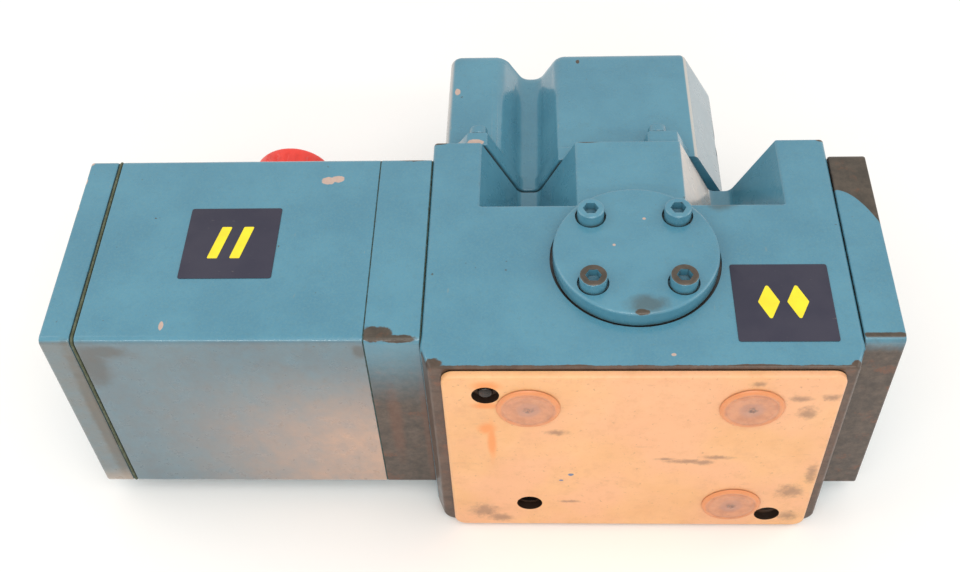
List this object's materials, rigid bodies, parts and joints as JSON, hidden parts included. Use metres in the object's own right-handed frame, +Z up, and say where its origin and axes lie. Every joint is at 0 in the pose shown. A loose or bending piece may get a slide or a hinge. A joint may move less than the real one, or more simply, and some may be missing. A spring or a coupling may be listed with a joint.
{
  "type": "hydraulic directional control valve",
  "caption": "Pilot-operated hydraulic spool valve with pilot housing, electronics housing, end plate, round filter cover and a shipping plate over its mounting face.",
  "frame": {"origin": "middle of the whole valve's footprint, on the surface that the valve lies on", "axes": "+X along the main spool, from the electronics housing to the end plate; -Y is the way the mounting face looks; +Z is up, the way the label face looks"},
  "size_m": [0.3332, 0.2, 0.1266],
  "materials": {
    "blue_paint": "teal-blue machine enamel on castings, chipped to brown metal at the edges",
    "machined_steel": "ground and honed",
    "screw_steel": "blackened, partly painted over",
    "spring_steel": "drawn wire",
    "seal_rubber": "black, matt",
    "gasket_board": "dark olive, squeezed out along the joint",
    "circuit_card": "green, coated",
    "coil_winding": "varnished copper wire",
    "bare_aluminium": "bare die casting",
    "cap_red": "red moulding",
    "filter_bronze": "sintered",
    "plate_tan": "tan moulding, oil-stained",
    "plug_orange": "translucent orange moulding",
    "label_film": "navy film with yellow marks"
  },
  "bodies": {
    "valve": {"main_body": "blue_paint", "spool_sleeve": "machined_steel", "centring_spring_left": "spring_steel", "centring_spring_right": "spring_steel", "end_plate": "blue_paint", "end_plate_seal": "seal_rubber", "end_plate_screw_1": "screw_steel", "end_plate_screw_2": "screw_steel", "end_plate_screw_3": "screw_steel", "end_plate_screw_4": "screw_steel", "adapter_plate": "blue_paint", "adapter_seal": "seal_rubber", "electronics_housing": "blue_paint", "housing_screw_1": "screw_steel", "housing_screw_2": "screw_steel", "housing_screw_3": "screw_steel", "housing_screw_4": "screw_steel", "end_cover_gasket": "gasket_board", "end_cover": "blue_paint", "end_cover_screw_1": "screw_steel", "end_cover_screw_2": "screw_steel", "end_cover_screw_3": "screw_steel", "end_cover_screw_4": "screw_steel", "circuit_board": "circuit_card", "sensor_tube": "machined_steel", "sensor_coil": "coil_winding", "receptacle": "bare_aluminium", "filter_cover": "blue_paint", "filter_cover_seal": "seal_rubber", "filter_disc": "filter_bronze", "filter_cover_screw_1": "screw_steel", "filter_cover_screw_2": "screw_steel", "filter_cover_screw_3": "screw_steel", "filter_cover_screw_4": "screw_steel", "pilot_housing": "blue_paint", "pilot_gasket": "seal_rubber", "pilot_screw_1": "screw_steel", "pilot_screw_2": "screw_steel", "pilot_screw_3": "screw_steel", "pilot_screw_4": "screw_steel", "pilot_spring": "spring_steel", "pilot_coil": "coil_winding", "pilot_end_plug": "screw_steel", "pilot_end_cap": "bare_aluminium", "locating_pin": "machined_steel", "left_label": "label_film", "right_label": "label_film"},
    "main_spool_set": {"main_spool": "machined_steel", "spring_seat_left": "machined_steel", "spring_seat_right": "machined_steel", "sensor_core": "machined_steel"},
    "pilot_spool_set": {"pilot_spool": "machined_steel", "pilot_armature": "machined_steel"},
    "connector_cap": {"dust_cap": "cap_red"},
    "shipping_cover": {"shipping_plate": "plate_tan", "plate_plug_1": "plug_orange", "plate_plug_2": "plug_orange", "plate_plug_3": "plug_orange"}
  },
  "joints": [
    {"name": "main_spool_slide", "type": "slide", "parent": "valve", "child": "main_spool_set", "axis": [1, 0, 0], "range_m": [-0.004, 0.004], "stiffness_N_per_m": 6000, "deforming": ["centring_spring_left", "centring_spring_right"]},
    {"name": "pilot_spool_slide", "type": "slide", "parent": "valve", "child": "pilot_spool_set", "axis": [1, 0, 0], "range_m": [-0.0012, 0.0012], "stiffness_N_per_m": 1500, "deforming": ["pilot_spring"]},
    {"name": "dust_cap_pull", "type": "slide", "parent": "valve", "child": "connector_cap", "axis": [0, 1, 0], "range_m": [0, 0.04]},
    {"name": "shipping_cover_pull", "type": "slide", "parent": "valve", "child": "shipping_cover", "axis": [0, -1, 0], "range_m": [0, 0.05]}
  ]
}
